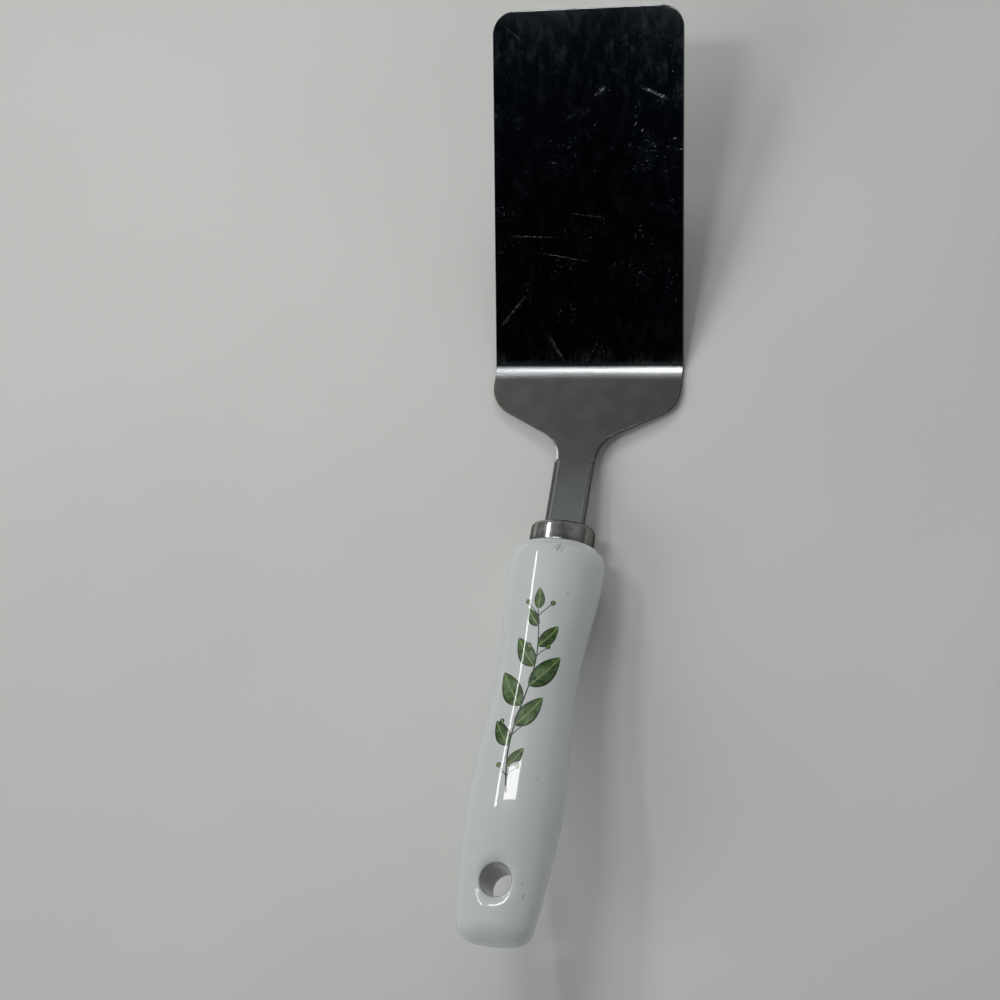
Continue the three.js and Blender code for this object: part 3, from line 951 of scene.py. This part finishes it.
def sheet_roughness(f, place, station, grain):
    ragged = f.total(station, f.ramp(grain, *RAGGED))
    bend = f.total(f.ramp(ragged, *HAZE_ALONG), f.ramp(ragged, *BEND_ALONG))
    bend = f.total(bend, f.ramp(station, *SHOULDER_ALONG))
    return f.total(f.pattern(place, *POLISH), bend)


# A glint painted along the neck's left edge, as a pale colour that is almost not metallic
GLINT_CENTRE = (-SHANK_WIDTH / 2 - NECK_FILLET_RADIUS, FILLET_END, 0.0)
GLINT_WIDTH = (0.9, 0.5)
GLINT_START = (FILLET_END - 6.5, FILLET_END - 3.0)
GLINT_END = (FILLET_END + 0.2, FILLET_END - 0.6)
GLINT_DULL = 0.95


def neck_glint(f, place, station, on_left):
    away = f.measure("DISTANCE", f.vector("MULTIPLY", place, FLAT), GLINT_CENTRE)
    glint = f.ramp(f.math("SUBTRACT", away, NECK_FILLET_RADIUS), *GLINT_WIDTH)
    return f.product(glint, f.ramp(station, *GLINT_START), f.ramp(station, *GLINT_END), on_left)


# Colours of the steel sheet and where each lies, with painted shade and painted highlights marked
SATIN_DARK = (0.48, 0.485, 0.445)
SATIN_PALE = (0.55, 0.555, 0.51)
SHANK_STEEL = (0.68, 0.745, 0.745)
# Blade and heel: bluish steel on the left, paler towards the right as a painted highlight that brightens the
# heel band's right end
BLADE_DARK = (0.52, 0.55, 0.56)
BLADE_PAINTED_BRIGHT = (0.72, 0.75, 0.755)
# Painted shade: the shank's flanges are darker, standing in for the dark surroundings they reflect
FLANGE_SHADE = (0.46, 0.46, 0.445)
# Painted highlight: a pale line along the left flange's inner foot
FOOT_HIGHLIGHT = (0.95, 0.95, 0.93)
# Painted shade: the cut edges and the shank's outer edges are dark, so that they reflect little
CUT_EDGE_SHADE = (0.12, 0.12, 0.115)
# Painted highlight: the neck's left cut edge is pale, so that it glints
NECK_EDGE_HIGHLIGHT = (0.9, 0.9, 0.9)
# Painted highlight: colour of the glint on the neck's left edge
GLINT = (0.95, 0.96, 0.95)
ON_BLADE = (BLADE_LENGTH + 0.5, BLADE_LENGTH - 1.0)
ON_SHANK = (FILLET_END - 0.5, FILLET_END + 0.5)
ON_LEFT = (1.0, -1.0)
BLOTCHES = (0.12, 2.0, 0.35, 0.65)
BLADE_ACROSS = (5.0, 30.0)
BLADE_ALONG = (HEEL_END + 3.0, HEEL_END - 1.0)
CUT_BOTTOM = (-0.58, -0.5)
CUT_TOP = (0.5998, 0.595)
OUTER_EDGE = (0.35, 0.15)
FLANGE = (1.2, 1.1)
FOOT_START = (1.15, 1.22)
FOOT_END = (1.7, 1.5)
NECK_START = (FILLET_START + 2.0, FILLET_START + 4.0)
NECK_END = (FILLET_END - 0.5, FILLET_END - 1.5)
NECK_EDGE = (0.59, 0.45)

# Roughness and depth of the marks, the grain and the cut edges
GRAIN_CELL = (0.28, 5.0, THROUGH)
QUIET_TIP = (0.0, 45.0, 0.12, 1.0)
SCRATCH_ROUGHNESS = 0.26
SCRATCH_HEIGHT = -0.6
CUT_ROUGHNESS = 0.45
STEEL_BUMP = (0.03, 0.00005)


def steel_finish():
    """Polished blade with scratches and smears, dull bend, satin shoulder and shank; cut edges and flanges
    painted dark as shade, and painted highlights on the blade's right side, the left flange's foot and the
    neck's left edge.
    """
    f = Finish("polished_steel")
    place = f.place()
    across, station, lift = f.parts(place)
    on_blade, on_shank = f.ramp(station, *ON_BLADE), f.ramp(station, *ON_SHANK)
    on_left = f.ramp(across, *ON_LEFT)
    grain = f.noise(f.cells(place, GRAIN_CELL))
    marks = f.product(scratch_marks(f, place), on_blade)
    quiet = f.product(marks, f.ramp(station, *QUIET_TIP))
    glint = neck_glint(f, place, station, on_left)
    # How far the steel is not metallic: real smears and scratches, and the painted glint
    film_and_glint = f.largest(f.product(blade_film(f, place, station), on_blade), f.product(marks, SCRATCH_DULL))
    film_and_glint = f.largest(film_and_glint, f.product(glint, GLINT_DULL))

    from_edge = f.math("SUBTRACT", SHANK_WIDTH / 2, f.math("ABSOLUTE", across))
    # Painted shade on the shank's flanges
    flange = f.product(f.ramp(from_edge, *FLANGE), on_shank)
    # Painted highlight along the left flange's inner foot
    foot_highlight = f.product(f.ramp(from_edge, *FOOT_START), f.ramp(from_edge, *FOOT_END), on_left, on_shank)
    # Cut edges, darkened as painted shade and roughened
    cut = f.product(f.ramp(lift, *CUT_BOTTOM), f.ramp(lift, *CUT_TOP))
    cut = f.largest(cut, f.product(f.ramp(from_edge, *OUTER_EDGE), on_shank))
    # The neck's left edge stays smooth, and is made pale as a painted highlight
    neck = f.product(f.ramp(station, *NECK_START), f.ramp(station, *NECK_END), on_left)
    dull_cut = f.product(cut, f.math("SUBTRACT", 1.0, neck))

    satin = f.mix(f.pattern(place, *BLOTCHES), SATIN_DARK, SATIN_PALE)
    # Painted highlight: the blade and heel grow paler towards their right side
    blade = f.mix(f.ramp(across, *BLADE_ACROSS), BLADE_DARK, BLADE_PAINTED_BRIGHT)
    steel = f.layers(
        satin,
        (f.ramp(station, FILLET_START, FERRULE_TOP), SHANK_STEEL),
        (f.ramp(station, *BLADE_ALONG), blade),
        (flange, FLANGE_SHADE),
        (foot_highlight, FOOT_HIGHLIGHT),
        (cut, CUT_EDGE_SHADE),
        (f.product(neck, f.ramp(lift, *NECK_EDGE)), NECK_EDGE_HIGHLIGHT),
        (glint, GLINT),
    )
    rough = sheet_roughness(f, place, station, grain)
    rough = f.total(rough, f.product(quiet, SCRATCH_ROUGHNESS), f.product(dull_cut, CUT_ROUGHNESS))
    f.shade(Base_Color=steel, Metallic=f.math("SUBTRACT", 1.0, film_and_glint), Roughness=rough)
    f.shade(Normal=f.bump(f.total(grain, f.product(quiet, SCRATCH_HEIGHT)), *STEEL_BUMP))
    return f.material


# Finish of the ferrule, with painted shade on its sides and at its rim
CAP_PALE = (0.9, 0.905, 0.88)
CAP_STAINED = (0.68, 0.67, 0.63)
CAP_STREAKED = (0.66, 0.66, 0.65)
# The dull colour serves the cap's dark lines and is also painted shade on its right half; the next two are
# painted shade on its left, its right end and its rim
CAP_DULL_AND_SHADE = (0.34, 0.34, 0.325)
CAP_LEFT_SHADE = (0.19, 0.185, 0.17)
CAP_SHADE = (0.13, 0.13, 0.12)
CAP_GRAZING = (0.25, 0.25, 0.24)
STREAK_CELL = (0.6, 14.0, 0.6)
STREAKS = (0.5, 0.75, 0.0, 0.6)
STREAK_ROUGHNESS = (0.3, 0.7, 0.09, 0.16)
STREAK_BUMP = (0.1, 0.0001)
DARK_LINE_CELL = (1.5, 30.0, 1.5)
DARK_LINES = (0.46, 0.6, 0.0, 0.55)
STAINS = (0.35, 3.0, 0.35, 0.7)
# Painted shade: where the cap is darker on its left, its right half, its right end and its rim
SHADE_LEFT = (-10.5, -3.5, 0.8, 0.0)
SHADE_RIGHT = (0.5, 2.5, 0.0, 0.42)
DARK_RIGHT = (7.0, 9.5, 0.0, 0.7)
DARK_RIM = (-FERRULE_END, 3.0 - FERRULE_END, 0.45, 0.0)


def ferrule_finish():
    """Drawn steel with streaks and dark lines along the cap, and painted shade that darkens its sides, its
    right end and its rim.
    """
    f = Finish("ferrule_steel")
    place = f.place()
    across, along, _ = f.parts(place)
    streaks = f.noise(f.cells(place, STREAK_CELL), detail=3.0)
    lines = f.noise(f.cells(place, DARK_LINE_CELL), detail=3.0, roughness=0.65)
    steel = f.layers(
        f.mix(f.pattern(place, *STAINS), CAP_PALE, CAP_STAINED),
        (f.ramp(lines, *DARK_LINES), CAP_DULL_AND_SHADE),
        (f.ramp(streaks, *STREAKS), CAP_STREAKED),
        # Painted shade on the cap's sides, right end and rim
        (f.ramp(across, *SHADE_LEFT), CAP_LEFT_SHADE),
        (f.ramp(across, *SHADE_RIGHT), CAP_DULL_AND_SHADE),
        (f.ramp(across, *DARK_RIGHT), CAP_SHADE),
        (f.ramp(along, *DARK_RIM), CAP_SHADE),
    )
    f.shade(Base_Color=steel, Metallic=1.0, Specular_Tint=CAP_GRAZING)
    f.shade(Roughness=f.ramp(streaks, *STREAK_ROUGHNESS), Normal=f.bump(streaks, *STREAK_BUMP))
    return f.material


# Porcelain and the glaze over it and over the print
GLAZE = {"Coat_Weight": 1.0, "Coat_Roughness": 0.03, "Coat_IOR": 1.5, "Specular_IOR_Level": 0.3}
WHITE_COOL = (0.615, 0.657, 0.65)
WHITE_WARM = (0.65, 0.682, 0.656)
SPECK_DARK = (0.13, 0.13, 0.12)
COLLAR_SHADE_DARK = (0.25, 0.25, 0.23)
RUB_DARK = (0.2, 0.2, 0.19)
BORE_DARK = (0.24, 0.245, 0.225)
TONE_SCALE = 0.03
TONES = (0.3, 0.7)
BODY_ROUGHNESS = (0.3, 0.7, 0.3, 0.36)
RIPPLE_SCALE = 0.09
RIPPLE_BUMP = (0.03, 0.001)
# Specks in the glaze: place across, along from the seat and up from the axis, and radius
SPECKS = (
    (9.0, 20.5, 10.8, 0.45),
    (9.2, 85.0, 9.9, 0.5),
    (9.8, 123.0, 6.5, 0.7),
    (9.0, 119.0, 7.2, 0.45),
    (-1.5, 111.0, 9.6, 0.4),
    (15.9, 96.0, 2.6, 0.6),
)
SPECK_SQUEEZE = (1, 0.5, 1)
SPECK_CORE = 0.2
SPECK_PATCHES = (1.7, 2.0, 0.36, 0.56)
SPECK_SHARE = 0.55
RUB_MARK = (3.6, -SEAT - 4.5, 12.4)
RUB_REACH = (2.4, 0.8)
RUB_GRAIN = (1.4, 3.0, 0.46, 0.62)
RUB_SHARE = 0.75
# Painted shade: a thin, uneven darker line at the collar's step
COLLAR_SHADE_STATION = SEAT + COLLAR_HEIGHT + 0.3
COLLAR_SHADE_LINE = (0.1, 0.4, 0.3, 0.0)
COLLAR_SHADE_PATCHES = (0.5, 2.0, 0.35, 0.6, 0.5, 1.0)
# Darker inside the hanging hole's bore
IN_BORE = (HOLE_DIAMETER / 2, HOLE_DIAMETER / 2 + 0.6, 0.85, 0.0)


def porcelain_finish():
    """White body under a rippled gloss glaze, with specks, a line of painted shade at the collar's step and a
    metal rub mark.
    """
    f = Finish("porcelain")
    place = f.place()
    _, along, _ = f.parts(place)
    tone = f.noise(place, TONE_SCALE)
    specks = []
    for across, station, height, radius in SPECKS:
        offset = f.vector("SUBTRACT", place, (across, -SEAT - station, height))
        away = f.measure("LENGTH", f.vector("MULTIPLY", offset, SPECK_SQUEEZE))
        specks.append(f.ramp(away, radius, SPECK_CORE * radius))
    collar_shade = f.ramp(f.math("ABSOLUTE", f.total(along, COLLAR_SHADE_STATION)), *COLLAR_SHADE_LINE)
    rub = f.ramp(f.measure("DISTANCE", place, RUB_MARK), *RUB_REACH)
    off_hole = f.measure("DISTANCE", f.vector("MULTIPLY", place, FLAT), (0, -SEAT - HOLE_STATION, 0))
    white = f.layers(
        f.mix(f.ramp(tone, *TONES), WHITE_COOL, WHITE_WARM),
        (f.product(f.largest(*specks), f.pattern(place, *SPECK_PATCHES), SPECK_SHARE), SPECK_DARK),
        (f.product(collar_shade, f.pattern(place, *COLLAR_SHADE_PATCHES)), COLLAR_SHADE_DARK),
        (f.product(rub, f.pattern(place, *RUB_GRAIN), RUB_SHARE), RUB_DARK),
        (f.ramp(off_hole, *IN_BORE), BORE_DARK),
    )
    f.shade(Base_Color=white, Roughness=f.ramp(tone, *BODY_ROUGHNESS), **GLAZE)
    f.shade(Coat_Normal=f.bump(f.noise(place, RIPPLE_SCALE, detail=1.0), *RIPPLE_BUMP))
    return f.material


# Print, whose scales are cells per metre
PRINT_ROUGHNESS = 0.35
LEAF_DARK = (0.02, 0.055, 0.01)
LEAF_GREEN = (0.075, 0.15, 0.038)
LEAF_GREY = (0.16, 0.24, 0.13)
VEIN_GREEN = (0.34, 0.42, 0.17)
EDGE_DARK = (0.012, 0.022, 0.008)
STEM_DARK = (0.018, 0.028, 0.026)
STEM_PALE = (0.06, 0.085, 0.06)
MOTTLE = (420.0, 3.0, 0.36, 0.62)
GREY_SPOTS = (190.0, 1.0, 0.52, 0.7, 0.0, 0.7)
RIB = (0.24, 0.1)
VEINS_PER_LEAF = 6.0
VEIN_SLANT = 1.5
VEIN_LINE = (0.06, 0.0)
VEIN_REACH = (0.5, 0.85, 0.7, 0.0)
VEIN_SHARE = 0.8
LEAF_EDGE = (0.72, 0.98, 0.0, 0.85)
INK = (600.0, 2.0, 0.35, 0.65)


def leaf_finish():
    """Green leaf under the glaze: mottled, darker at the edge, with pale veins."""
    f = Finish("leaf_print")
    ahead, share, aside = f.parts(f.place())
    spot = f.spot()
    outwards = f.math("ABSOLUTE", share)
    slanted = f.math("SUBTRACT", f.product(ahead, VEINS_PER_LEAF), f.product(outwards, VEIN_SLANT))
    from_vein = f.math("ABSOLUTE", f.math("SUBTRACT", f.math("FRACT", slanted), 0.5))
    side_veins = f.product(f.ramp(from_vein, *VEIN_LINE), f.ramp(outwards, *VEIN_REACH))
    veins = f.largest(f.ramp(f.math("ABSOLUTE", aside), *RIB), side_veins)
    green = f.layers(
        f.mix(f.pattern(spot, *MOTTLE), LEAF_DARK, LEAF_GREEN),
        (f.pattern(spot, *GREY_SPOTS), LEAF_GREY),
        (f.product(veins, VEIN_SHARE), VEIN_GREEN),
        (f.ramp(outwards, *LEAF_EDGE), EDGE_DARK),
    )
    f.shade(Base_Color=green, Roughness=PRINT_ROUGHNESS, **GLAZE)
    return f.material


def stem_finish():
    """Dark blue-green line under the glaze, with an uneven stroke."""
    f = Finish("stem_print")
    colour = f.mix(f.pattern(f.spot(), *INK), STEM_DARK, STEM_PALE)
    f.shade(Base_Color=colour, Roughness=PRINT_ROUGHNESS, **GLAZE)
    return f.material


# Cement and floor, whose scales are cells per metre
CEMENT_DARK = (0.4, 0.37, 0.31)
CEMENT_PALE = (0.56, 0.53, 0.46)
GRIT_SCALE = 1500.0
GRIT = (0.35, 0.7)
GRIT_ROUGHNESS = (0.3, 0.7, 0.8, 0.95)
GRIT_BUMP = (0.4, 0.0003)
FLOOR_DARK = (0.7, 0.71, 0.68)
FLOOR_PALE = (0.745, 0.755, 0.725)
FLOOR_CLOUDS = (5.0, 3.0, 0.3, 0.7)
FLOOR_ROUGHNESS = 0.7
FLOOR_SPECULAR = 0.2
FLOOR_SIDE = 6.0


def cement_finish():
    """Set cement with grit and pores."""
    f = Finish("cement")
    grit = f.noise(f.spot(), GRIT_SCALE, detail=4.0)
    f.shade(Base_Color=f.mix(f.ramp(grit, *GRIT), CEMENT_DARK, CEMENT_PALE))
    f.shade(Roughness=f.ramp(grit, *GRIT_ROUGHNESS), Normal=f.bump(grit, *GRIT_BUMP))
    return f.material


def floor_finish():
    """Pale board, nearly even."""
    f = Finish("floor")
    f.shade(Base_Color=f.mix(f.pattern(f.spot(), *FLOOR_CLOUDS), FLOOR_DARK, FLOOR_PALE))
    f.shade(Roughness=FLOOR_ROUGHNESS, Specular_IOR_Level=FLOOR_SPECULAR)
    return f.material


def make_floor():
    half = FLOOR_SIDE / 2
    mesh = bpy.data.meshes.new("floor")
    corners = [(-half, -half, 0), (half, -half, 0), (half, half, 0), (-half, half, 0)]
    mesh.from_pydata(corners, [], [(0, 1, 2, 3)])
    mesh.materials.append(floor_finish())
    floor = add_object("floor", mesh)


# World: palest beyond the butt, dimmer beyond the tip and overhead, and dark where the blade's face looks
WORLD_TINT = (0.97, 0.985, 1.0)
WORLD_PALE = 0.34
WORLD_DIM = 0.16
WORLD_OVERHEAD = 0.085
WORLD_DARK = 0.0018
DARK_TINT = (0.3, 0.57, 1.0)
PALE_TOWARDS = (0.2, -0.98, 0.0)
OVERHEAD = (0.72, 0.9)
DARK_TOWARDS = (-0.28, -0.39, 0.88)
DARK_PATCH = (cos(radians(24)), 1.0)


def make_world():
    world = bpy.data.worlds.new("studio")
    SCENE.world = world
    world.use_nodes = True
    n = Nodes(world.node_tree)
    look = n.add("TexCoord").outputs["Generated"]

    def facing(direction):
        return n.measure("DOT_PRODUCT", look, Vector(direction).normalized())

    around = n.ramp(facing(PALE_TOWARDS), -1.0, 1.0, WORLD_DIM, WORLD_PALE)
    room = n.ramp(facing((0, 0, 1)), *OVERHEAD, around, WORLD_OVERHEAD)
    to_dark = facing(DARK_TOWARDS)
    back = n.tree.nodes["Background"]
    n.set(back.inputs["Color"], n.mix(n.ramp(to_dark, *DARK_PATCH), WORLD_TINT, DARK_TINT))
    n.set(back.inputs["Strength"], n.ramp(to_dark, *DARK_PATCH, room, WORLD_DARK))


# Lamps, in metres: name, place, point that each faces, turn, size across and along, radiance, if mirrored
LAMPS = (
    ("side_softbox", (-2.4, -1.12, 1.79), (0, 0, 0), 0.0, (1.92, 1.92), 2.1, False),
    ("back_softbox", (-0.3, 3.0, 1.95), (0, 0, 0), 0.0, (3.0, 0.6), 6.0, False),
    ("strip", (-0.74, 0.62, 1.0), (-0.74, 0.62, 0.0), radians(20), (0.07, 0.85), 14.0, True),
    ("near_panel", (-0.1135, 0.0948, 0.47), (-0.1135, 0.0948, 0.0), 0.0, (0.134, 0.069), 12.0, True),
)


def make_lamps():
    for name, place, target, turn, (across, along), radiance, mirrored in LAMPS:
        light = bpy.data.lights.new(name, "AREA")
        light.shape = "RECTANGLE"
        light.size = across
        light.size_y = along
        light.energy = radiance * pi * across * along
        lamp = add_object(name, light)
        aim = Vector(target) - Vector(place)
        pointing = aim.to_track_quat("-Z", "Y").to_matrix().to_4x4()
        lamp.matrix_world = Matrix.Translation(place) @ pointing @ Matrix.Rotation(turn, 4, "Z")
        lamp.visible_camera = False
        lamp.visible_glossy = mirrored


# Camera, in millimetres in the level sheet's frame
CAMERA_PLACE = Vector((213.3, 50.92, 684.86))
CAMERA_AHEAD = Vector((-0.3368, -0.1377, -0.9314))
CAMERA_UP = Vector((-0.0367, 0.9904, -0.1332))
CAMERA_LENS = 72.0
CAMERA_SENSOR = 36.0


def make_camera():
    camera = bpy.data.cameras.new("camera")
    camera.lens = CAMERA_LENS
    camera.sensor_width = CAMERA_SENSOR
    seen = add_object("camera", camera)
    ahead = CAMERA_AHEAD.normalized()
    right = ahead.cross(CAMERA_UP).normalized()
    axes = Matrix((right, right.cross(ahead), -ahead)).transposed()
    pose = SHEET_FRAME @ Matrix.Translation(CAMERA_PLACE) @ axes.to_4x4()
    pose.translation *= MM
    seen.matrix_world = pose
    SCENE.camera = seen


def main():
    SCENE.view_settings.view_transform = "Standard"
    make_camera()
    make_world()
    make_lamps()
    make_floor()
    make_blade(steel_finish())
    make_ferrule(ferrule_finish())
    make_handle(porcelain_finish())
    make_print(leaf_finish(), stem_finish())
    cement = frame["nodes"]["tang_cement"]
    cement.data.materials.clear()
    cement.data.materials.append(cement_finish())


main()
